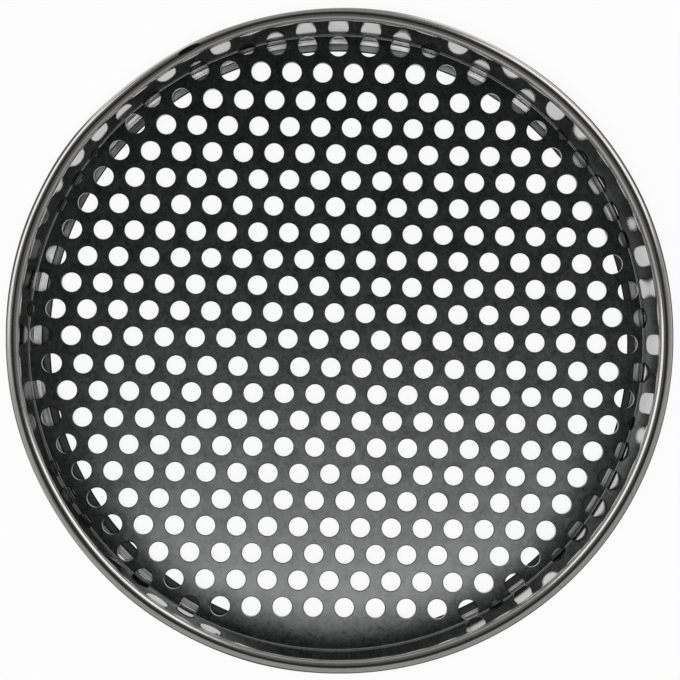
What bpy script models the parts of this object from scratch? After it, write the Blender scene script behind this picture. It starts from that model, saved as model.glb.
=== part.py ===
"""Soil sieve: a low flared ring of sheet steel, rolled over at its rim and turned inward at its foot, with
a loose punched plate that rests against the flared wall. Metres, +Z up, standing on Z = 0."""

import math

import bmesh
import bpy
from mathutils import Matrix, Vector

# Sheet metal ring: overall size, its two rolled edges, how far the wall's inner face at the plate lies
# inside the rim's outside, and how far the wall bulges outward above the plate
RIM_DIAMETER = 0.2997
RING_HEIGHT = 0.0230
RING_SHEET = 0.0008
WALL_SPREAD = 0.00975
WALL_BOW = 0.0004
BEAD_DIAMETER = 0.0066
BEAD_SWEEP = math.radians(300.0)
FOOT_BEND_RADIUS = 0.0016
HEM_GAP = 0.0004
HEM_RETURN = 0.0018

# Punched plate, how high the flare holds it, and the ledge under it, from the plate's edge to the hem's
# inside
PLATE_THICKNESS = 0.0012
PLATE_HEIGHT = 0.0037
PLATE_SIDE_CLEARANCE = 0.00032
LEDGE_WIDTH = 0.0071

# Hole field: staggered rows, ten to a stroke of the punch. The first stroke runs off the plate's back
# edge, the second starts a stated way in from it, and the third stops short of the front edge.
HOLE_DIAMETER = 0.0088
HOLE_PITCH = 0.0141
ROW_SPACING = 0.01212
ROW_DRIFT = 0.00008
ROWS_PER_STROKE = 10
SECOND_STROKE_INSET = 0.0297
STROKE_GAP = 0.00068
STROKE_SLIPS = (0.00058, -0.00015, -0.00159)
FIELD_TURN = math.radians(-0.9)
SMALLEST_EDGE_BITE = 0.0006

# Joint of the strip's two ends: the roll gapes there in a narrow oval that opens upward
JOINT_AZIMUTH = math.radians(117.6)
JOINT_GAP_LENGTH = 0.0108
JOINT_GAP_WIDTH = 0.0024
JOINT_GAP_OFFSET = -0.0001

# Hand-made irregularity. The hem and the foot have centres of their own, and the hem is oval. The rim has
# shallow bends, each with its azimuth and half width in degrees and its depth outward in metres. At the
# back its outer half is squeezed in.
HEM_SHIFT = Vector((-0.0002, -0.0010))
HEM_OVAL_DEPTH = 0.0008
HEM_OVAL_AXIS = math.radians(109.0)
FOOT_SHIFT = Vector((-0.0014, -0.0010))
RIM_BENDS = (
    (160.0, 26.0, 0.00058),
    (145.0, 11.0, 0.00040),
    (129.0, 14.0, -0.00055),
    (118.0, 20.0, -0.00035),
    (68.0, 22.0, -0.00050),
    (25.0, 32.0, 0.00054),
    (212.0, 24.0, -0.00050),
    (256.0, 14.0, 0.00020),
)
SQUEEZE_CENTRE = math.radians(100.0)
SQUEEZE_HALF_WIDTH = math.radians(30.0)
SQUEEZE_DEPTH = 0.0010

# Facets
RING_STEPS = 48
BEAD_SEGMENTS = 8
WALL_SEGMENTS = 2
FOOT_SEGMENTS = 2
HEM_SEGMENTS = 3
HOLE_SEGMENTS = 7
JOINT_GAP_SEGMENTS = 10

# Sizes and places that follow from those above
WALL_FOOT_RADIUS = RIM_DIAMETER / 2 - WALL_SPREAD
PLATE_RADIUS = WALL_FOOT_RADIUS - PLATE_SIDE_CLEARANCE
BEAD_CENTRE = Vector((RIM_DIAMETER / 2 - BEAD_DIAMETER / 2, RING_HEIGHT - BEAD_DIAMETER / 2))
HEM_HEIGHT = 2 * RING_SHEET + HEM_GAP
HEM_CENTRE = Vector((PLATE_RADIUS - LEDGE_WIDTH + HEM_HEIGHT / 2, HEM_HEIGHT / 2))
MERGE_DISTANCE = 0.00001


def clear_scene():
    for old in list(bpy.data.objects):
        bpy.data.objects.remove(old, do_unlink=True)


def new_collection(name):
    collection = bpy.data.collections.new(name)
    bpy.context.scene.collection.children.link(collection)
    return collection


def metal(name, colour, roughness):
    material = bpy.data.materials.new(name)
    material.use_nodes = True
    shader = material.node_tree.nodes["Principled BSDF"]
    shader.inputs["Base Color"].default_value = (*colour, 1.0)
    shader.inputs["Metallic"].default_value = 1.0
    shader.inputs["Roughness"].default_value = roughness
    return material


def mesh_object(name, mesh, collection):
    new_object = bpy.data.objects.new(name, mesh)
    collection.objects.link(new_object)
    return new_object


def cutter_object(name, mesh, collection):
    cutter = mesh_object(name, mesh, collection)
    cutter.hide_render = True
    cutter.display_type = "WIRE"
    return cutter


def cut_away(piece, name, cutter):
    """Takes the cutter's volume out of the piece, and ties the cutter to it."""
    cutter.parent = piece
    cut = piece.modifiers.new(name, "BOOLEAN")
    cut.operation = "DIFFERENCE"
    cut.solver = "EXACT"
    cut.object = cutter


def shade_round(mesh):
    mesh.shade_smooth()
    mesh.set_sharp_from_angle(angle=math.radians(40.0))


def arc(centre, radius, start, sweep, segments):
    """Points of an arc in the section plane, from angle start through sweep."""
    points = []
    for step in range(segments + 1):
        angle = start + sweep * step / segments
        points.append(centre + radius * Vector((math.cos(angle), math.sin(angle))))
    return points


def wall_lean():
    """Angle from upright at which the wall's inner face clears the plate and meets the bead tangentially."""
    across = BEAD_CENTRE.x - WALL_FOOT_RADIUS
    up = BEAD_CENTRE.y - PLATE_HEIGHT
    return math.acos(BEAD_DIAMETER / 2 / math.hypot(across, up)) - math.atan2(up, across)


def ring_section():
    """Middle line of the sheet from the bead's free edge, down the wall and the foot, to the hem's edge.

    With it come its radii at the foot's corner, beside the plate's top and at the top of the wall."""
    lean = wall_lean()
    half_sheet = RING_SHEET / 2
    bead_radius = BEAD_DIAMETER / 2 - half_sheet
    hem_radius = HEM_HEIGHT / 2 - half_sheet
    bend_radius = FOOT_BEND_RADIUS + half_sheet

    wall_normal = Vector((-math.cos(lean), math.sin(lean)))
    wall_down = Vector((-math.sin(lean), -math.cos(lean)))
    wall_top = BEAD_CENTRE + bead_radius * wall_normal
    corner = wall_top + wall_down * (wall_top.y - half_sheet) / math.cos(lean)

    bend_turn = math.pi / 2 - lean
    bend_start = corner - wall_down * bend_radius * math.tan(bend_turn / 2)
    bend_centre = bend_start + bend_radius * wall_normal

    plate_top = PLATE_HEIGHT + PLATE_THICKNESS
    beside_plate = corner - wall_down * (plate_top - half_sheet) / math.cos(lean)

    bead = arc(BEAD_CENTRE, bead_radius, math.pi - lean - BEAD_SWEEP, BEAD_SWEEP, BEAD_SEGMENTS)
    wall = []
    for step in range(1, WALL_SEGMENTS + 1):
        along = step / WALL_SEGMENTS
        bulge = WALL_BOW * 4.0 * along * (1.0 - along)
        wall.append(wall_top.lerp(beside_plate, along) - bulge * wall_normal)
    bend = arc(bend_centre, bend_radius, -lean, -bend_turn, FOOT_SEGMENTS)
    hem = arc(HEM_CENTRE, hem_radius, -math.pi / 2, -math.pi, HEM_SEGMENTS)
    hem.append(hem[-1] + Vector((HEM_RETURN, 0.0)))
    return bead + wall + bend + hem, (corner.x, beside_plate.x, wall_top.x)


def turned_mesh(name, section):
    """Revolves the open section about Z with a Screw modifier and returns the resulting mesh."""
    profile = bpy.data.meshes.new(name + "_section")
    edges = [(index, index + 1) for index in range(len(section) - 1)]
    profile.from_pydata([(point.x, 0.0, point.y) for point in section], edges, [])
    turned = bpy.data.objects.new(name + "_section", profile)
    bpy.context.scene.collection.objects.link(turned)

    screw = turned.modifiers.new("turn", "SCREW")
    screw.axis = "Z"
    screw.angle = math.tau
    screw.steps = RING_STEPS
    screw.render_steps = RING_STEPS
    screw.use_merge_vertices = True
    screw.merge_threshold = MERGE_DISTANCE

    depsgraph = bpy.context.evaluated_depsgraph_get()
    mesh = bpy.data.meshes.new_from_object(turned.evaluated_get(depsgraph))
    mesh.name = name
    bpy.data.objects.remove(turned, do_unlink=True)
    return mesh


def swell(azimuth, centre, half_width):
    """1 at an azimuth's centre, falling smoothly to 0 at half_width either side of it."""
    away = abs((azimuth - centre + math.pi) % math.tau - math.pi) / half_width
    return math.cos(math.pi / 2 * away) ** 2 if away < 1.0 else 0.0


def rim_bend(azimuth):
    """How far the rim is bent outward of its circle."""
    return sum(
        depth * swell(azimuth, math.radians(centre), math.radians(half_width))
        for centre, half_width, depth in RIM_BENDS
    )


def blend(value, low, high):
    return min(max((value - low) / (high - low), 0.0), 1.0)


def set_out_of_true(mesh, foot_radius, plate_side_radius, wall_top_radius):
    """Shifts the hem and the foot off the rim's centre and bends the rim, as one sheet would bend.

    The foot's shift holds up to the plate's top, so the wall keeps its clearance to the plate."""
    hem_edge = HEM_CENTRE.x + HEM_RETURN
    for vertex in mesh.vertices:
        radius = math.hypot(vertex.co.x, vertex.co.y)
        azimuth = math.atan2(vertex.co.y, vertex.co.x)
        up_the_wall = blend(radius, plate_side_radius, wall_top_radius)
        along_the_floor = blend(radius, hem_edge, foot_radius)
        over_the_bead = blend(radius, BEAD_CENTRE.x, RIM_DIAMETER / 2)

        shift = HEM_SHIFT.lerp(FOOT_SHIFT, along_the_floor) * (1.0 - up_the_wall)
        oval = HEM_OVAL_DEPTH * math.cos(2.0 * (azimuth - HEM_OVAL_AXIS)) * (1.0 - along_the_floor)
        squeeze = SQUEEZE_DEPTH * swell(azimuth, SQUEEZE_CENTRE, SQUEEZE_HALF_WIDTH) * over_the_bead
        outward = oval + rim_bend(azimuth) * up_the_wall - squeeze
        vertex.co.x += shift.x + outward * math.cos(azimuth)
        vertex.co.y += shift.y + outward * math.sin(azimuth)


def make_joint_cutter(collection):
    """Oval upright prism over the bead, as long as the gap is along the rim, down to the roll's middle."""
    height = BEAD_DIAMETER
    middle = (BEAD_CENTRE.x + JOINT_GAP_OFFSET, 0.0, BEAD_CENTRE.y + height / 2)
    size = Matrix.Diagonal((JOINT_GAP_WIDTH, JOINT_GAP_LENGTH, height, 1.0))
    prism = bmesh.new()
    bmesh.ops.create_cone(
        prism,
        cap_ends=True,
        segments=JOINT_GAP_SEGMENTS,
        radius1=0.5,
        radius2=0.5,
        depth=1.0,
        matrix=Matrix.Rotation(JOINT_AZIMUTH, 4, "Z") @ Matrix.Translation(middle) @ size,
    )
    mesh = bpy.data.meshes.new("joint_cutter")
    prism.to_mesh(mesh)
    prism.free()
    return cutter_object("joint_cutter", mesh, collection)


def make_ring(collection, cutters):
    section, radii = ring_section()
    mesh = turned_mesh("sieve_ring", section)
    set_out_of_true(mesh, *radii)
    shade_round(mesh)
    mesh.materials.append(metal("polished_ring_steel", (0.58, 0.58, 0.55), 0.12))

    ring = mesh_object("sieve_ring", mesh, collection)
    sheet = ring.modifiers.new("sheet", "SOLIDIFY")
    sheet.thickness = RING_SHEET
    sheet.offset = 0.0
    sheet.use_even_offset = True
    cut_away(ring, "joint_gap", make_joint_cutter(cutters))
    return ring


def hole_centres():
    """Centres of the holes that bite into the plate, from the plate's centre."""
    reach = PLATE_RADIUS + HOLE_DIAMETER / 2 - SMALLEST_EDGE_BITE
    columns = math.ceil(PLATE_RADIUS / HOLE_PITCH) + 1
    second_stroke = Vector((0.0, PLATE_RADIUS - SECOND_STROKE_INSET))
    turn = Matrix.Rotation(FIELD_TURN, 2)

    centres = []
    for stroke, slip in enumerate(STROKE_SLIPS, start=-1):
        for row in range(ROWS_PER_STROKE):
            rows_on = stroke * ROWS_PER_STROKE + row
            stagger = HOLE_PITCH / 2 if row % 2 else 0.0
            row_x = stagger + slip + ROW_DRIFT * rows_on
            row_y = ROW_SPACING * rows_on + STROKE_GAP * stroke
            for column in range(-columns, columns + 1):
                centre = second_stroke + turn @ Vector((row_x + HOLE_PITCH * column, -row_y))
                if centre.length < reach:
                    centres.append(centre)
    return centres


def make_punches(collection):
    """One prism for each hole, longer than the plate is thick."""
    prisms = bmesh.new()
    for centre in hole_centres():
        bmesh.ops.create_cone(
            prisms,
            cap_ends=True,
            segments=HOLE_SEGMENTS,
            radius1=HOLE_DIAMETER / 2,
            radius2=HOLE_DIAMETER / 2,
            depth=PLATE_THICKNESS * 3,
            matrix=Matrix.Translation((centre.x, centre.y, 0.0)),
        )
    mesh = bpy.data.meshes.new("hole_punches")
    prisms.to_mesh(mesh)
    prisms.free()
    return cutter_object("hole_punches", mesh, collection)


def make_plate(collection, cutters):
    blank = bmesh.new()
    bmesh.ops.create_cone(
        blank,
        cap_ends=True,
        segments=RING_STEPS,
        radius1=PLATE_RADIUS,
        radius2=PLATE_RADIUS,
        depth=PLATE_THICKNESS,
    )
    mesh = bpy.data.meshes.new("perforated_plate")
    blank.to_mesh(mesh)
    blank.free()
    shade_round(mesh)
    mesh.materials.append(metal("dark_plate_steel", (0.10, 0.105, 0.11), 0.32))

    plate = mesh_object("perforated_plate", mesh, collection)
    plate.location = (FOOT_SHIFT.x, FOOT_SHIFT.y, PLATE_HEIGHT + PLATE_THICKNESS / 2)
    cut_away(plate, "holes", make_punches(cutters))
    return plate


def make_sieve():
    parts = new_collection("soil_sieve")
    cutters = new_collection("soil_sieve_cutters")
    sieve = bpy.data.objects.new("soil_sieve", None)
    parts.objects.link(sieve)
    for piece in (make_ring(parts, cutters), make_plate(parts, cutters)):
        piece.parent = sieve


clear_scene()
make_sieve()
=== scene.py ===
"""Soil sieve seen from nearly straight above: a polished ring with a rolled rim, and inside it a
dark punched plate. The CAD ring and plate are replaced by finer ones at the same sizes."""

import math

import bmesh
import bpy
from mathutils import Matrix, Vector, noise


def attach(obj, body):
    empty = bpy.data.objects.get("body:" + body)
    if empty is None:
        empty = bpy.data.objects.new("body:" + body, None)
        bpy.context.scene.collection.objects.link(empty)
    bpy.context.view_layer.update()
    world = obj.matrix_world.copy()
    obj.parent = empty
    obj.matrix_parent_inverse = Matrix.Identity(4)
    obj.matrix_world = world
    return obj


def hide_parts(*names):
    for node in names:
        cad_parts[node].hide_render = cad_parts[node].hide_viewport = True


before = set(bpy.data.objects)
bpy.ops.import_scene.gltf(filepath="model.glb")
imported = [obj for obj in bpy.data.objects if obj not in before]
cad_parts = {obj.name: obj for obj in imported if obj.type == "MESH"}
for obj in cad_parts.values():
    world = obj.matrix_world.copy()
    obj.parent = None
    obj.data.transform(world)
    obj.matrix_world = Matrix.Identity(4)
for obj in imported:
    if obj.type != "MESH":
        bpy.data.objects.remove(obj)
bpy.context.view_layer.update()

# Ring, as in the CAD source, in metres
RIM_DIAMETER = 0.2997
RING_HEIGHT = 0.0230
RING_SHEET = 0.0008
WALL_SPREAD = 0.00975
WALL_BOW = 0.0004
BEAD_DIAMETER = 0.0066
BEAD_SWEEP = math.radians(300.0)
FOOT_BEND_RADIUS = 0.0016
HEM_GAP = 0.0004
HEM_RETURN = 0.0018

# Plate, how high the flare holds it, and the ledge under it, as in the CAD source
PLATE_THICKNESS = 0.0012
PLATE_HEIGHT = 0.0037
PLATE_SIDE_CLEARANCE = 0.00032
LEDGE_WIDTH = 0.0071

# Hole field, as in the CAD source
HOLE_DIAMETER = 0.0088
HOLE_PITCH = 0.0141
ROW_SPACING = 0.01212
ROW_DRIFT = 0.00008
ROWS_PER_STROKE = 10
SECOND_STROKE_INSET = 0.0297
STROKE_GAP = 0.00068
STROKE_SLIPS = (0.00058, -0.00015, -0.00159)
FIELD_TURN = math.radians(-0.9)
SMALLEST_EDGE_BITE = 0.0006

# Gap at the joint of the strip's two ends, as in the CAD source
JOINT_AZIMUTH = math.radians(117.6)
JOINT_GAP_LENGTH = 0.0108
JOINT_GAP_WIDTH = 0.0024
JOINT_GAP_OFFSET = -0.0001

# Out of true, as in the CAD source
HEM_SHIFT = Vector((-0.0002, -0.0010))
HEM_OVAL_DEPTH = 0.0008
HEM_OVAL_AXIS = math.radians(109.0)
FOOT_SHIFT = Vector((-0.0014, -0.0010))
RIM_BENDS = (
    (160.0, 26.0, 0.00058),
    (145.0, 11.0, 0.00040),
    (129.0, 14.0, -0.00055),
    (118.0, 20.0, -0.00035),
    (68.0, 22.0, -0.00050),
    (25.0, 32.0, 0.00054),
    (212.0, 24.0, -0.00050),
    (256.0, 14.0, 0.00020),
)
SQUEEZE_CENTRE = math.radians(100.0)
SQUEEZE_HALF_WIDTH = math.radians(30.0)
SQUEEZE_DEPTH = 0.0010

WALL_FOOT_RADIUS = RIM_DIAMETER / 2 - WALL_SPREAD
PLATE_RADIUS = WALL_FOOT_RADIUS - PLATE_SIDE_CLEARANCE
PLATE_TOP = PLATE_HEIGHT + PLATE_THICKNESS
BEAD_CENTRE = Vector((RIM_DIAMETER / 2 - BEAD_DIAMETER / 2, RING_HEIGHT - BEAD_DIAMETER / 2))
HEM_HEIGHT = 2 * RING_SHEET + HEM_GAP
HEM_CENTRE = Vector((PLATE_RADIUS - LEDGE_WIDTH + HEM_HEIGHT / 2, HEM_HEIGHT / 2))

# Hollows in the wall's finish, without which the polished wall doesn't mirror the holes rightly.
# Each row has an azimuth, then how many degrees further out the wall leans at the plate and at the
# roll. The largest of them may be LARGEST_LEAN.
WALL_LEANS = (
    (0.0, 3.0, 3.5),
    (10.0, 3.5, 5.0),
    (18.0, 4.0, 4.0),
    (35.0, -0.5, 4.5),
    (47.0, -4.0, 6.0),
    (62.0, -2.5, 6.5),
    (72.0, 0.5, 5.0),
    (85.0, -0.5, 5.5),
    (100.0, 1.0, 6.5),
    (112.0, 4.0, 7.0),
    (125.0, 7.0, 8.5),
    (145.0, 7.0, 8.5),
    (157.0, 6.0, 5.0),
    (185.0, 5.5, 4.0),
    (205.0, 1.0, 1.0),
    (216.0, 3.0, 3.0),
    (224.0, 7.0, 6.0),
    (234.0, 17.5, 14.5),
    (248.0, 17.5, 14.5),
    (258.0, 4.0, 4.0),
    (268.0, 0.0, 0.0),
    (295.0, 3.0, 4.0),
    (311.0, 3.0, 5.0),
    (322.0, 3.0, 6.0),
    (332.0, 3.0, 6.0),
    (343.0, 6.0, 5.0),
    (353.0, 3.5, 3.5),
    (360.0, 3.0, 3.5),
)
LARGEST_LEAN = 20.0

# Where the painted dark reflection on the roll has its middle, and where the painted shade on the
# ledge is lightest
PAINTED_DARK_AZIMUTH = math.radians(97.0)
LIT_LEDGE_AZIMUTH = math.radians(110.0)

# Dark strip of floor beside the hem's free edge, a painted contact shadow
CREASE_WIDTH = 0.0009

# Rounding of the sheet's two cut edges: how far they stand out, in half sheets, and where they turn
EDGE_REACH = 0.8
EDGE_TURNS = (0.22, 0.78)

# Slight ripples of the wall
RIPPLE_DEPTH = 0.00005
RIPPLES_PER_METRE = 45.0

# Rounding of the plate's sheared edge, and how far that edge stays clear of the wall's foot
PLATE_EDGE_ROUND = 0.00042
PLATE_EDGE_GAP = 0.00005

# What the flats of the CAD rim cut off its round outside, so that the finer rim stays within them
RIM_FLATS = 0.00015

# Fineness of the turned ring and of the punched edges
RING_STEPS = 420
BEAD_SEGMENTS = 36
HEM_SEGMENTS = 12
FOOT_SEGMENTS = 8
FLAT_SEGMENTS = 3
WALL_SEGMENTS = 12
HOLE_SEGMENTS = 28
PLATE_STEPS = 360

# Camera: far above and a little off the axis. The angles tip it about X, Y and Z.
CAMERA_PLACE = Vector((-0.01225, -0.01932, 0.91665))
CAMERA_TILT = (math.radians(1.1996), math.radians(-0.7734), math.radians(-0.0162))
CAMERA_LENS = 105.882
SENSOR_WIDTH = 36.0

# Table: half its width, and how far it lies below the sieve so that the two never touch
TABLE_REACH = 4.0
TABLE_DROP = 0.0002

# The room: its brightest side, and its grey from the horizon (0) to straight overhead (1)
BRIGHT_SIDE = math.radians(205.0)
ROOM_GREYS = (
    (0.00, 0.40),
    (0.42, 0.40),
    (0.64, 0.15),
    (0.77, 0.135),
    (0.866, 0.17),
    (0.925, 0.10),
    (0.96, 0.045),
    (0.985, 0.03),
)


# ---- node maths ----


class Wire:
    """A socket that does shader maths with ordinary operators."""

    def __init__(self, finish, socket):
        self.finish = finish
        self.socket = socket

    def maths(self, operation, *values):
        settings = {"operation": operation}
        return self.finish.node("ShaderNodeMath", settings, dict(enumerate(values)))

    def __add__(self, other):
        return self.maths("ADD", self, other)

    __radd__ = __add__

    def __sub__(self, other):
        return self.maths("SUBTRACT", self, other)

    def __rsub__(self, other):
        return self.maths("SUBTRACT", other, self)

    def __mul__(self, other):
        return self.maths("MULTIPLY", self, other)

    __rmul__ = __mul__

    def __truediv__(self, other):
        return self.maths("DIVIDE", self, other)

    def __pow__(self, other):
        return self.maths("POWER", self, other)

    def clamped(self):
        return self.finish.node("ShaderNodeClamp", {}, {"Value": self, "Min": 0.0, "Max": 1.0})


class Finish:
    """The node tree of one material or of the world, and the one method that adds a node to it."""

    def __init__(self, owner):
        owner.use_nodes = True
        self.owner = owner
        self.tree = owner.node_tree
        self.tree.nodes.clear()

    def node(self, kind, settings, sockets, output=0):
        added = self.tree.nodes.new(kind)
        for name, value in settings.items():
            if name == "stops":
                for stop, (place, colour) in zip(added.color_ramp.elements, value):
                    stop.position = place
                    stop.color = (*colour, 1.0)
                for place, colour in value[2:]:
                    added.color_ramp.elements.new(place).color = (*colour, 1.0)
            else:
                setattr(added, name, value)
        for name, value in sockets.items():
            if isinstance(value, Wire):
                self.tree.links.new(value.socket, added.inputs[name])
            else:
                added.inputs[name].default_value = value
        return Wire(self, added.outputs[output]) if added.outputs else None

    def step(self, value, low, high):
        """0 below low, 1 above high, and smooth between them; low may be the larger one."""
        settings = {"interpolation_type": "SMOOTHSTEP"}
        sockets = {"Value": value, "From Min": low, "From Max": high}
        return self.node("ShaderNodeMapRange", settings, sockets)

    def mix(self, share, first, second):
        """A colour between two colours."""
        first, second = [c if isinstance(c, Wire) else (*c, 1.0) for c in (first, second)]
        return self.node("ShaderNodeMix", {"data_type": "RGBA"}, {0: share, 6: first, 7: second}, 2)

    def noise(self, place, scale, detail=2.0, roughness=0.5):
        sockets = {"Vector": place, "Scale": scale, "Detail": detail, "Roughness": roughness}
        return self.node("ShaderNodeTexNoise", {}, sockets)

    def scaled(self, place, factors):
        return self.node("ShaderNodeVectorMath", {"operation": "MULTIPLY"}, {0: place, 1: factors})

    def place(self):
        """Where a point of the surface is, in metres, in the row frame."""
        return self.node("ShaderNodeTexCoord", {}, {}, "Object")

    def parts(self, place):
        split = self.node("ShaderNodeSeparateXYZ", {}, {0: place}).socket.node
        return [Wire(self, socket) for socket in split.outputs]

    def around(self):
        """How far across, along and up a point is, and its distance from the ring's axis."""
        across, along, up = self.parts(self.place())
        return across, along, up, (across * across + along * along) ** 0.5

    def toward(self, azimuth):
        """1 on the side of the ring that an azimuth names, 0 square to it and -1 opposite."""
        across, along, _, radius = self.around()
        return (across * math.cos(azimuth) + along * math.sin(azimuth)) / radius

    def steel(self, shader, height, strength, distance):
        """The finished material, from the values of its shader and the height of its grain."""
        bump = {"Height": height, "Strength": strength, "Distance": distance}
        shader = {**shader, "Normal": self.node("ShaderNodeBump", {}, bump)}
        return self.surface(self.node("ShaderNodeBsdfPrincipled", {}, shader))

    def seen_by(self, *rays):
        """1 for the kinds of ray that are named, as Light Path names them."""
        kinds = [self.node("ShaderNodeLightPath", {}, {}, ray) for ray in rays]
        return sum(kinds[1:], kinds[0]).clamped()

    def surface(self, shader):
        self.node("ShaderNodeOutputMaterial", {}, {"Surface": shader})
        return self.owner


def new_finish(name):
    return Finish(bpy.data.materials.new(name))


# ---- metal finishes ----


def streaks_round_the_ring(finish, factors, roughness):
    """Noise that changes fast along the radius and the height and slowly round the ring."""
    across, along, up, radius = finish.around()
    sockets = {0: across / radius, 1: along / radius, 2: (radius + up) * 60.0}
    streaky = finish.node("ShaderNodeCombineXYZ", {}, sockets)
    return finish.noise(finish.scaled(streaky, factors), 1.0, 3.0, roughness)


def ring_finish(
    name, clean_and_lit, stain_and_painted_dark, roughness, blur, metallic=1.0, roll_light_paint=None, light=None, hollow=None
):
    """Bright sheet steel with fine lines that run round the ring, with light stains and scuff
    marks. The roll's function and the light function, where given, paint light and shade into the
    colour.
    """
    finish = new_finish(name)
    place = finish.place()
    lines = streaks_round_the_ring(finish, (6.0, 6.0, 60.0), 0.6)
    stains = finish.noise(place, 70.0, 4.0, 0.6)
    marks = finish.noise(place, 420.0, 3.0, 0.7)

    colour = finish.mix(finish.step(stains, 0.35, 0.75), clean_and_lit, stain_and_painted_dark)
    rough = roughness + blur * lines + blur * finish.step(marks, 0.55, 0.75)
    height = (lines * 0.6 + marks * 0.4) * 0.000012
    # Painted light and shade on the roll, where a function for it is given.
    if roll_light_paint:
        colour, metallic = roll_light_paint(finish, colour)
    # Painted shade: where the light function is low, the colour goes to near-black.
    if light:
        colour = finish.mix(light(finish), (0.03, 0.03, 0.03), colour)
    if hollow:
        height = height + hollow(finish)
    shader = {"Base Color": colour, "Metallic": metallic, "Roughness": rough}
    return finish.steel({**shader, "Specular IOR Level": 0.0}, height, 1.0, 1.0)


def painted_light_on_roll(finish, clean_and_lit):
    """Colour and metallic value of the roll, with light and shade painted on its outer half: a
    paler grey band at the front is a painted reflection, a dark patch at the back is a painted dark
    reflection, and a fine near-black line round it where it is widest is a painted shadow."""
    _, along, up, radius = finish.around()
    outer = finish.step(radius, BEAD_CENTRE.x + 0.0002, BEAD_CENTRE.x + 0.0009)
    outer = outer * finish.step(up, BEAD_CENTRE.y - 0.0006, BEAD_CENTRE.y + 0.0004)
    widest = finish.step(radius, BEAD_CENTRE.x + 0.0022, BEAD_CENTRE.x + 0.0027)
    # Painted reflection: a paler, less metallic grey band on the front of the roll's outer half.
    painted_grey_reflection = 0.75 * outer * finish.step(along / radius, 0.35, -0.35)
    # Painted dark reflection: a dark, less metallic patch on the back of the roll's outer half.
    stain_and_painted_dark = 0.65 * outer * finish.step(finish.toward(PAINTED_DARK_AZIMUTH), 0.92, 0.97)
    # Painted shadow: a fine near-black line round the roll where it is widest.
    painted_outline_shadow = 0.90 * outer * widest

    colour = finish.mix(painted_grey_reflection, clean_and_lit, (0.21, 0.21, 0.20))
    colour = finish.mix(stain_and_painted_dark, colour, (0.07, 0.07, 0.06))
    colour = finish.mix(painted_outline_shadow, colour, (0.030, 0.030, 0.028))
    return colour, (1.0 - painted_grey_reflection) * (1.0 - stain_and_painted_dark) * (1.0 - painted_outline_shadow)


def round_the_wall(finish, levels):
    """A value from -1 to 1, set at stated azimuths in degrees and running evenly between them."""
    across, along, _, _ = finish.around()
    turn = finish.node("ShaderNodeMath", {"operation": "ARCTAN2"}, {0: along, 1: across}) / math.tau
    share = finish.node("ShaderNodeMath", {"operation": "FRACT"}, {0: turn + 1.0})
    stops = [(azimuth / 360.0, ((level + 1.0) / 2.0,) * 3) for azimuth, level in levels]
    return finish.node("ShaderNodeValToRGB", {"stops": stops}, {"Fac": share}) * 2.0 - 1.0


def wall_hollow(finish):
    """How far the wall's hollows and swellings stand off it, from the plate's top to the roll."""
    at_plate = [(azimuth, lean / LARGEST_LEAN) for azimuth, lean, _ in WALL_LEANS]
    at_roll = [(azimuth, lean / LARGEST_LEAN) for azimuth, _, lean in WALL_LEANS]
    steepest = math.tan(math.radians(LARGEST_LEAN))
    slope = round_the_wall(finish, at_plate) * steepest
    end_slope = round_the_wall(finish, at_roll) * steepest

    _, _, up, _ = finish.around()
    climb = up - PLATE_TOP
    bend = (end_slope - slope) / (2.0 * (BEAD_CENTRE.y - PLATE_TOP))
    return climb * climb * bend * -1.0 - climb * slope


def streaky_light(finish, least, start):
    """Painted shade, in streaks round the ring, from the darkest side to fully lit; least is how
    lit the darkest side is.
    """
    streaks = streaks_round_the_ring(finish, (3.0, 3.0, 15.0), 0.7)
    clean_and_lit = least + (1.0 - least) * finish.step(finish.toward(LIT_LEDGE_AZIMUTH), start, 0.9)
    return (clean_and_lit * (0.35 + 1.3 * finish.step(streaks, 0.30, 0.70))).clamped()


def ledge_light(finish):
    """Painted shade on the floor of the ledge, which stays fairly light all round."""
    return streaky_light(finish, 0.34, -0.3)


def hem_light(finish):
    """Painted shade on the top of the hem, dark but for the back."""
    return streaky_light(finish, 0.06, 0.1)


def polished_ring_steel():
    clean_and_lit, stain_and_painted_dark = (0.62, 0.61, 0.60), (0.56, 0.55, 0.54)
    return ring_finish("polished_ring_steel", clean_and_lit, stain_and_painted_dark, 0.12, 0.07, roll_light_paint=painted_light_on_roll)


def mirror_wall_steel():
    clean_and_lit, stain_and_painted_dark = (0.58, 0.57, 0.57), (0.52, 0.51, 0.51)
    return ring_finish("mirror_wall_steel", clean_and_lit, stain_and_painted_dark, 0.045, 0.03, hollow=wall_hollow)


def bright_ledge_steel():
    clean_and_lit, stain_and_painted_dark = (0.95, 0.95, 0.95), (0.62, 0.62, 0.62)
    return ring_finish("bright_ledge_steel", clean_and_lit, stain_and_painted_dark, 0.30, 0.10, 0.15, light=ledge_light)


def dull_hem_steel():
    clean_and_lit, stain_and_painted_dark = (0.34, 0.35, 0.34), (0.10, 0.10, 0.10)
    return ring_finish("dull_hem_steel", clean_and_lit, stain_and_painted_dark, 0.35, 0.10, 0.35, light=hem_light)


def painted_shade_black():
    # Near-black and matt: painted shade inside the roll, round the hem's edges and on the floor
    # strip beside the hem.
    clean_and_lit, stain_and_painted_dark = (0.020, 0.020, 0.020), (0.010, 0.010, 0.010)
    return ring_finish("painted_shade_black", clean_and_lit, stain_and_painted_dark, 0.60, 0.10, 0.0)


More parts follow.
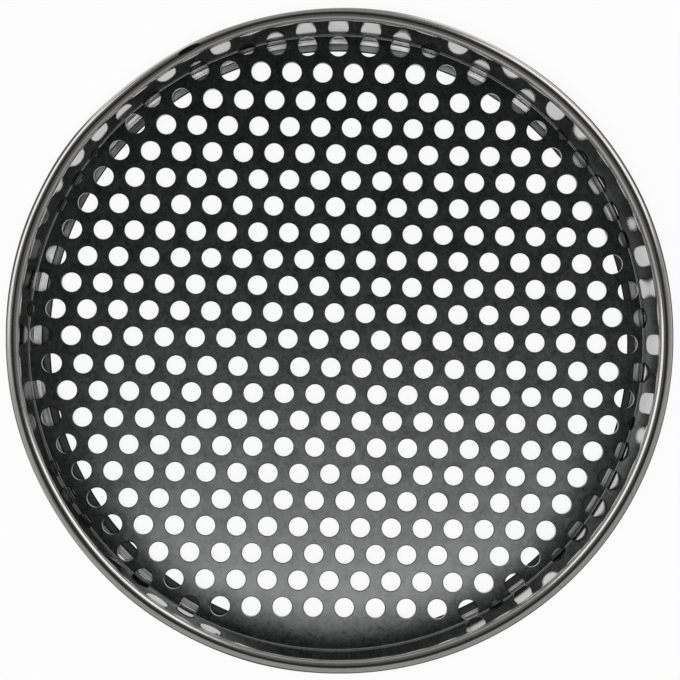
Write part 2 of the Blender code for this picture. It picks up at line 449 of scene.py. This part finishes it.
def dark_plate_steel():
    """Dark mill-finished sheet, dark at the back and paler and less metallic towards the front."""
    finish = new_finish("dark_plate_steel")
    place = finish.place()
    across, along, _, radius = finish.around()

    clouds = finish.noise(place, 130.0, 4.0, 0.6)
    mottle = finish.noise(place, 430.0, 4.0, 0.75)
    grain = finish.noise(place, 1500.0, 2.0, 0.6)
    brushing = finish.noise(finish.scaled(place, (900.0, 45.0, 900.0)), 1.0, 3.0, 0.6)

    forward = ((0.09 - along) / 0.20).clamped()
    sideways = (across * across) ** 0.5
    inside = finish.step(radius, 0.1405, 0.1180)
    # Painted shade: the paler area fades near the left and right walls.
    inside = inside * (0.55 + 0.45 * finish.step(sideways, 0.135, 0.085))
    inside = inside * (0.70 + 0.30 * finish.step(across, -0.120, -0.060))
    front_paleness = forward ** 2.6 * inside + 0.03 * finish.step(along, 0.105, 0.070)
    patchy = 0.26 + 0.36 * clouds + 0.50 * mottle + 0.24 * grain + 0.16 * brushing
    front_paleness = (front_paleness * patchy).clamped()

    steel_tone = finish.step(clouds * 0.3 + mottle * 0.4 + grain * 0.3, 0.34, 0.66)
    steel = finish.mix(steel_tone, (0.060, 0.066, 0.064), (0.236, 0.252, 0.246))
    colour = finish.mix(front_paleness, steel, (0.262, 0.270, 0.268))
    roughness = 0.27 + 0.08 * grain + 0.20 * front_paleness
    height = grain * 0.5 + brushing * 0.3 + clouds * 0.4
    shader = {"Base Color": colour, "Metallic": 1.0 - front_paleness, "Roughness": roughness}
    return finish.steel(shader, height, 0.12, 0.0003)


def punched_edge_steel():
    """Lips and sheared walls of the holes, dark, but bright on the outer side near the wall."""
    finish = new_finish("punched_edge_steel")
    drag = finish.noise(finish.scaled(finish.place(), (2200.0, 2200.0, 500.0)), 1.0, 2.0, 0.6)
    across, along, _, radius = finish.around()
    facing = finish.node("ShaderNodeNewGeometry", {}, {}, "Normal")
    facing_across, facing_along, _ = finish.parts(facing)
    inward = (facing_across * across + facing_along * along) / radius * -1.0
    lit = finish.step(inward, 0.15, 0.45) * finish.step(radius, 0.1245, 0.1290)

    dark = finish.mix(drag, (0.030, 0.031, 0.031), (0.085, 0.087, 0.086))
    colour = finish.mix(lit, dark, (0.42, 0.43, 0.42))
    roughness = 0.32 + 0.16 * drag
    shader = {"Base Color": colour, "Metallic": 1.0 - 0.8 * lit, "Roughness": roughness}
    return finish.steel(shader, drag, 0.15, 0.0002)


def sheared_rim_steel():
    """The plate's sheared outer edge, bare and bright."""
    finish = new_finish("sheared_rim_steel")
    drag = finish.noise(finish.scaled(finish.place(), (700.0, 700.0, 260.0)), 1.0, 3.0, 0.7)
    colour = finish.mix(drag, (0.20, 0.20, 0.20), (0.40, 0.40, 0.40))
    shader = {"Base Color": colour, "Metallic": 0.25, "Roughness": 0.32 + 0.20 * drag}
    return finish.steel(shader, drag, 0.15, 0.0002)


# ---- meshes that both pieces use ----


def finished_mesh(name, mesh, materials):
    """An object with the mesh, which is freed, and with its materials."""
    data = bpy.data.meshes.new(name)
    mesh.to_mesh(data)
    mesh.free()
    for material in materials:
        data.materials.append(material)
    made = bpy.data.objects.new(name, data)
    bpy.context.scene.collection.objects.link(made)
    return made


def cut_away(piece, cutter):
    """Takes the cutter's volume out of the piece and removes the cutter."""
    cut = piece.modifiers.new("cut", "BOOLEAN")
    cut.operation = "DIFFERENCE"
    cut.solver = "EXACT"
    cut.object = cutter
    depsgraph = bpy.context.evaluated_depsgraph_get()
    data = bpy.data.meshes.new_from_object(piece.evaluated_get(depsgraph))
    data.name = piece.name
    piece.modifiers.clear()
    piece.data = data
    bpy.data.objects.remove(cutter)


def smooth(piece, crease_angle):
    """Smooths the piece but for its creases, which are sharper than the angle, in degrees."""
    piece.data.shade_smooth()
    piece.data.set_sharp_from_angle(angle=math.radians(crease_angle))


# ---- ring ----


def arc(centre, radius, start, sweep, segments):
    angles = [start + sweep * step / segments for step in range(segments + 1)]
    return [centre + radius * Vector((math.cos(a), math.sin(a))) for a in angles]


def between(first, last):
    """Points that cut a straight run into equal pieces, without its two ends."""
    return [first.lerp(last, step / FLAT_SEGMENTS) for step in range(1, FLAT_SEGMENTS)]


def wall_lean():
    """Angle from upright of a straight wall from beside the plate to the bead's flank."""
    across = BEAD_CENTRE.x - WALL_FOOT_RADIUS
    up = BEAD_CENTRE.y - PLATE_HEIGHT
    return math.acos(BEAD_DIAMETER / 2 / math.hypot(across, up)) - math.atan2(up, across)


def sheet_line():
    """Middle of the sheet from the bead's free edge to the hem's.

    With it come its radii at the foot's corner, beside the plate's top and at the wall's top."""
    lean = wall_lean()
    half_sheet = RING_SHEET / 2
    bead_radius = BEAD_DIAMETER / 2 - half_sheet
    hem_radius = HEM_HEIGHT / 2 - half_sheet
    bend_radius = FOOT_BEND_RADIUS + half_sheet

    wall_normal = Vector((-math.cos(lean), math.sin(lean)))
    wall_down = Vector((-math.sin(lean), -math.cos(lean)))
    wall_top = BEAD_CENTRE + bead_radius * wall_normal
    corner = wall_top + wall_down * (wall_top.y - half_sheet) / math.cos(lean)
    bend_turn = math.pi / 2 - lean
    bend_start = corner - wall_down * bend_radius * math.tan(bend_turn / 2)
    bend_centre = bend_start + bend_radius * wall_normal
    beside_plate = corner - wall_down * (PLATE_TOP - half_sheet) / math.cos(lean)

    bead = arc(BEAD_CENTRE, bead_radius, math.pi - lean - BEAD_SWEEP, BEAD_SWEEP, BEAD_SEGMENTS)
    bend = arc(bend_centre, bend_radius, -lean, -bend_turn, FOOT_SEGMENTS)
    hem = arc(HEM_CENTRE, hem_radius, -math.pi / 2, -math.pi, HEM_SEGMENTS)
    hem_end = hem[-1] + Vector((HEM_RETURN, 0.0))
    wall = []
    for step in range(1, WALL_SEGMENTS + 1):
        along = step / WALL_SEGMENTS
        bulge = WALL_BOW * 4.0 * along * (1.0 - along)
        wall.append(wall_top.lerp(beside_plate, along) - bulge * wall_normal)
    crease = Vector((HEM_CENTRE.x + HEM_RETURN + CREASE_WIDTH, half_sheet))
    line = bead + wall + between(beside_plate, bend[0]) + bend + between(bend[-1], crease)
    line += [crease] + between(crease, hem[0]) + hem + between(hem[-1], hem_end) + [hem_end]
    return line, (corner.x, beside_plate.x, wall_top.x)


def sheet_outline(line):
    """Closed outline of the sheet's section: both faces of the middle line, with rounded edges."""
    half = RING_SHEET / 2
    left, right = [], []
    for index, point in enumerate(line):
        before = line[max(index - 1, 0)]
        after = line[min(index + 1, len(line) - 1)]
        along = (after - before).normalized()
        side = Vector((-along.y, along.x)) * half
        left.append(point + side)
        right.append(point - side)
    first = (line[0] - line[1]).normalized() * half * EDGE_REACH
    last = (line[-1] - line[-2]).normalized() * half * EDGE_REACH
    end_cap = [left[-1].lerp(right[-1], share) + last for share in EDGE_TURNS]
    start_cap = [right[0].lerp(left[0], share) + first for share in EDGE_TURNS]
    return left + end_cap + right[::-1] + start_cap


def outline_zones(outline, line_length):
    """Which finish each stretch of the outline has, as an index into the ring's finishes."""
    roll_and_outside, wall, ledge_floor, unlit, hem_top = range(5)
    caps = len(EDGE_TURNS)
    inner_start = len(outline) - caps - line_length
    inner_end = len(outline) - caps - BEAD_SEGMENTS
    slack = 0.0001
    hem_end = HEM_CENTRE.x + HEM_RETURN
    crease_end = hem_end + CREASE_WIDTH
    zones = []
    for index, (point, after) in enumerate(zip(outline, outline[1:] + outline[:1])):
        level = (point.y + after.y) / 2
        upper = inner_start <= index < inner_end
        past_crease = min(point.x, after.x) > crease_end - slack
        over_hem = HEM_CENTRE.x - 0.0006 < point.x < hem_end + slack
        # unlit is painted shade, given the near-black finish.
        if index < BEAD_SEGMENTS:
            zones.append(unlit)
        elif upper and level > FOOT_BEND_RADIUS * 2.0:
            zones.append(wall)
        elif upper and past_crease and level < RING_SHEET * 1.1:
            zones.append(ledge_floor)
        elif over_hem and level > HEM_HEIGHT - 0.00022:
            zones.append(hem_top)
        elif point.x < crease_end + slack and level > RING_SHEET * 0.4:
            zones.append(unlit)
        else:
            zones.append(roll_and_outside)
    return zones


def swell(azimuth, centre, half_width):
    """1 at an azimuth's centre, falling smoothly to 0 at half_width either side of it."""
    away = abs((azimuth - centre + math.pi) % math.tau - math.pi) / half_width
    return math.cos(math.pi / 2 * away) ** 2 if away < 1.0 else 0.0


def rim_bend(azimuth):
    """How far the rim is bent outward of its circle."""
    return sum(
        depth * swell(azimuth, math.radians(centre), math.radians(half_width))
        for centre, half_width, depth in RIM_BENDS
    )


def blend(value, low, high):
    """0 below low, 1 above high, and even between them."""
    return min(max((value - low) / (high - low), 0.0), 1.0)


def out_of_true(place, foot_radius, plate_side_radius, wall_top_radius):
    """Where a point of the true ring lies on the hand-made one."""
    radius = math.hypot(place.x, place.y)
    azimuth = math.atan2(place.y, place.x)
    outward = Vector((math.cos(azimuth), math.sin(azimuth), 0.0))
    up_the_wall = blend(radius, plate_side_radius, wall_top_radius)
    along_the_floor = blend(radius, HEM_CENTRE.x + HEM_RETURN, foot_radius)
    over_the_bead = blend(radius, BEAD_CENTRE.x, RIM_DIAMETER / 2)
    shift = HEM_SHIFT.lerp(FOOT_SHIFT, along_the_floor) * (1.0 - up_the_wall)
    oval = HEM_OVAL_DEPTH * math.cos(2.0 * (azimuth - HEM_OVAL_AXIS)) * (1.0 - along_the_floor)
    squeeze = SQUEEZE_DEPTH * swell(azimuth, SQUEEZE_CENTRE, SQUEEZE_HALF_WIDTH) * over_the_bead
    ripple = RIPPLE_DEPTH * noise.noise(place * RIPPLES_PER_METRE) * math.sin(math.pi * up_the_wall)
    bent = rim_bend(azimuth) * up_the_wall - squeeze - RIM_FLATS * over_the_bead
    return place + shift.to_3d() + outward * (oval + bent + ripple)


def make_joint_cutter():
    """Oval upright prism over the bead, down to the roll's middle."""
    height = BEAD_DIAMETER
    middle = (BEAD_CENTRE.x + JOINT_GAP_OFFSET, 0.0, BEAD_CENTRE.y + height / 2)
    size = Matrix.Diagonal((JOINT_GAP_WIDTH, JOINT_GAP_LENGTH, height, 1.0))
    prism = bmesh.new()
    bmesh.ops.create_cone(
        prism,
        cap_ends=True,
        segments=48,
        radius1=0.5,
        radius2=0.5,
        depth=1.0,
        matrix=Matrix.Rotation(JOINT_AZIMUTH, 4, "Z") @ Matrix.Translation(middle) @ size,
    )
    return finished_mesh("joint_cutter", prism, [])


def make_ring():
    line, radii = sheet_line()
    outline = sheet_outline(line)
    finishes = [
        polished_ring_steel(),
        mirror_wall_steel(),
        bright_ledge_steel(),
        painted_shade_black(),
        dull_hem_steel(),
    ]
    zones = outline_zones(outline, len(line))
    mesh = bmesh.new()
    rounds = []
    for step in range(RING_STEPS):
        azimuth = math.tau * step / RING_STEPS
        turned = [Vector((p.x * math.cos(azimuth), p.x * math.sin(azimuth), p.y)) for p in outline]
        rounds.append([mesh.verts.new(out_of_true(p, *radii)) for p in turned])
    for here, there in zip(rounds, rounds[1:] + rounds[:1]):
        for zone, a, b, c, d in zip(zones, here, here[1:] + here[:1], there[1:] + there[:1], there):
            mesh.faces.new((a, b, c, d)).material_index = zone
    bmesh.ops.recalc_face_normals(mesh, faces=mesh.faces)
    ring = finished_mesh("polished_ring", mesh, finishes)
    cut_away(ring, make_joint_cutter())
    smooth(ring, 40.0)
    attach(ring, "root")
    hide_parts("sieve_ring")


# ---- plate ----


def hole_centres():
    """Centres of the holes that bite into the plate, from the plate's centre."""
    reach = PLATE_RADIUS + HOLE_DIAMETER / 2 - SMALLEST_EDGE_BITE
    columns = math.ceil(PLATE_RADIUS / HOLE_PITCH) + 1
    second_stroke = Vector((0.0, PLATE_RADIUS - SECOND_STROKE_INSET))
    turn = Matrix.Rotation(FIELD_TURN, 2)
    centres = []
    for stroke, slip in enumerate(STROKE_SLIPS, start=-1):
        for row in range(ROWS_PER_STROKE):
            rows_on = stroke * ROWS_PER_STROKE + row
            stagger = HOLE_PITCH / 2 if row % 2 else 0.0
            row_x = stagger + slip + ROW_DRIFT * rows_on
            row_y = ROW_SPACING * rows_on + STROKE_GAP * stroke
            for column in range(-columns, columns + 1):
                centre = second_stroke + turn @ Vector((row_x + HOLE_PITCH * column, -row_y))
                if centre.length < reach:
                    centres.append(centre)
    return centres


def turned_solid(mesh, profile, centre, steps, bands):
    """Adds a solid turned about an upright line to the mesh, from a profile that runs downwards.

    bands holds the finish of each band between two levels, and then of the two flat ends."""
    rounds = []
    for radius, height in profile:
        ring = []
        for step in range(steps):
            angle = math.tau * step / steps
            x = centre.x + radius * math.cos(angle)
            y = centre.y + radius * math.sin(angle)
            ring.append(mesh.verts.new((x, y, height)))
        rounds.append(ring)
    mesh.faces.new(rounds[0]).material_index = bands[-1]
    mesh.faces.new(rounds[-1][::-1]).material_index = bands[-1]
    for above, below, band in zip(rounds, rounds[1:], bands):
        for a, b, c, d in zip(above, below, below[1:] + below[:1], above[1:] + above[:1]):
            mesh.faces.new((a, b, c, d)).material_index = band


def sheared_profile():
    """Half-section of the plate's blank, rounded at the top of its edge and leaning as the wall."""
    foot_edge = WALL_FOOT_RADIUS - PLATE_EDGE_GAP
    top_edge = foot_edge + PLATE_THICKNESS * math.tan(wall_lean())
    rounded = PLATE_EDGE_ROUND
    return [
        (top_edge - rounded * 1.20, PLATE_TOP),
        (top_edge - rounded * 0.70, PLATE_TOP - rounded * 0.08),
        (top_edge - rounded * 0.30, PLATE_TOP - rounded * 0.35),
        (top_edge - rounded * 0.28, PLATE_TOP - rounded * 0.80),
        (foot_edge, PLATE_HEIGHT + rounded * 0.30),
        (foot_edge - rounded * 0.30, PLATE_HEIGHT),
    ]


def punch_profile():
    """Half-section of what the punch takes out: a rolled-over lip at the top and a sheared wall."""
    hole = HOLE_DIAMETER / 2
    return [
        (hole + 0.00050, PLATE_TOP + 0.00006),
        (hole + 0.00028, PLATE_TOP - 0.00004),
        (hole + 0.00012, PLATE_TOP - 0.00012),
        (hole + 0.00003, PLATE_TOP - 0.00026),
        (hole, PLATE_TOP - 0.00042),
        (hole + 0.00002, PLATE_HEIGHT + 0.00030),
        (hole + 0.00008, PLATE_HEIGHT - 0.00010),
    ]


def make_plate():
    finishes = [dark_plate_steel(), punched_edge_steel(), sheared_rim_steel()]
    face, lip, bare = range(3)
    blank = bmesh.new()
    turned_solid(blank, sheared_profile(), FOOT_SHIFT, PLATE_STEPS, (bare,) * 5 + (face,))
    plate = finished_mesh("punched_plate", blank, finishes)

    punches = bmesh.new()
    punched = punch_profile()
    bands = (lip, lip, lip, lip, bare, lip, face)
    for centre in hole_centres():
        turned_solid(punches, punched, centre + FOOT_SHIFT, HOLE_SEGMENTS, bands)
    cut_away(plate, finished_mesh("hole_punches", punches, finishes))
    smooth(plate, 24.0)
    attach(plate, "root")
    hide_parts("perforated_plate")


# ---- floor, light and camera ----


def pale_floor():
    """Plain white table. Most of its white is its own. The rest is lit, so it keeps the shadow."""
    finish = new_finish("pale_floor")
    lit = finish.node("ShaderNodeBsdfDiffuse", {}, {"Color": (0.90, 0.90, 0.90, 1.0)})
    own = finish.node("ShaderNodeEmission", {}, {"Color": (1.0, 1.0, 1.0, 1.0), "Strength": 1.0})
    seen = finish.seen_by("Is Camera Ray", "Is Glossy Ray", "Is Transmission Ray")
    shader = finish.node("ShaderNodeMixShader", {}, {0: seen * 0.88, 1: lit, 2: own})
    return finish.surface(shader)


def make_floor():
    mesh = bmesh.new()
    bmesh.ops.create_grid(mesh, x_segments=1, y_segments=1, size=TABLE_REACH)
    floor = finished_mesh("pale_table", mesh, [pale_floor()])
    floor.location.z = -TABLE_DROP


def make_world():
    """A white room, dark straight overhead where the camera hangs, and brighter to its sides."""
    world = bpy.data.worlds.new("studio_room")
    bpy.context.scene.world = world
    finish = Finish(world)
    direction = finish.node("ShaderNodeTexCoord", {}, {}, "Generated")
    across, along, up = finish.parts(direction)
    stops = [(height, (grey,) * 3) for height, grey in ROOM_GREYS]
    overhead = finish.node("ShaderNodeValToRGB", {"stops": stops}, {"Fac": up})
    sideways = across * math.cos(BRIGHT_SIDE) + along * math.sin(BRIGHT_SIDE)
    level = 1.0 + 0.4 * finish.step(sideways, 0.25, 0.90) * finish.step(up, 0.60, 0.35)
    room = finish.node("ShaderNodeBackground", {}, {"Color": overhead, "Strength": level})
    white = {"Color": (1.0, 1.0, 1.0, 1.0), "Strength": 1.0}
    white = finish.node("ShaderNodeBackground", {}, white)
    seen = finish.seen_by("Is Camera Ray")
    shader = finish.node("ShaderNodeMixShader", {}, {0: seen, 1: room, 2: white})
    finish.node("ShaderNodeOutputWorld", {}, {"Surface": shader})


def softbox(name, azimuth, elevation, distance, width, height, brightness, mirrored=True):
    """A soft lamp aimed at the sieve; brightness is what a mirror would show of it, 1 for white."""
    lamp = bpy.data.lights.new(name, "AREA")
    lamp.shape = "RECTANGLE"
    lamp.size = width
    lamp.size_y = height
    lamp.energy = brightness * math.pi * width * height
    holder = bpy.data.objects.new(name, lamp)
    bpy.context.scene.collection.objects.link(holder)
    azimuth, elevation = math.radians(azimuth), math.radians(elevation)
    level = math.cos(elevation)
    away = Vector((math.cos(azimuth) * level, math.sin(azimuth) * level, math.sin(elevation)))
    holder.location = away * distance
    holder.rotation_euler = away.to_track_quat("Z", "Y").to_euler()
    holder.visible_glossy = mirrored


def make_lights():
    softbox("left_softbox", 157.0, 26.0, 1.8, 1.6, 1.1, 1.05)
    softbox("right_softbox", 42.0, 33.0, 1.8, 1.25, 1.2, 1.2)
    softbox("overhead_lamp", 250.0, 80.0, 2.0, 1.4, 1.4, 4.7, mirrored=False)


def make_camera():
    lens = bpy.data.cameras.new("camera")
    lens.lens = CAMERA_LENS
    lens.sensor_width = SENSOR_WIDTH
    lens.clip_start = 0.05
    lens.clip_end = 20.0
    camera = bpy.data.objects.new("camera", lens)
    bpy.context.scene.collection.objects.link(camera)
    camera.location = CAMERA_PLACE
    camera.rotation_euler = CAMERA_TILT
    bpy.context.scene.camera = camera


bpy.context.scene.view_settings.view_transform = "Standard"
make_camera()
make_floor()
make_world()
make_lights()
make_ring()
make_plate()
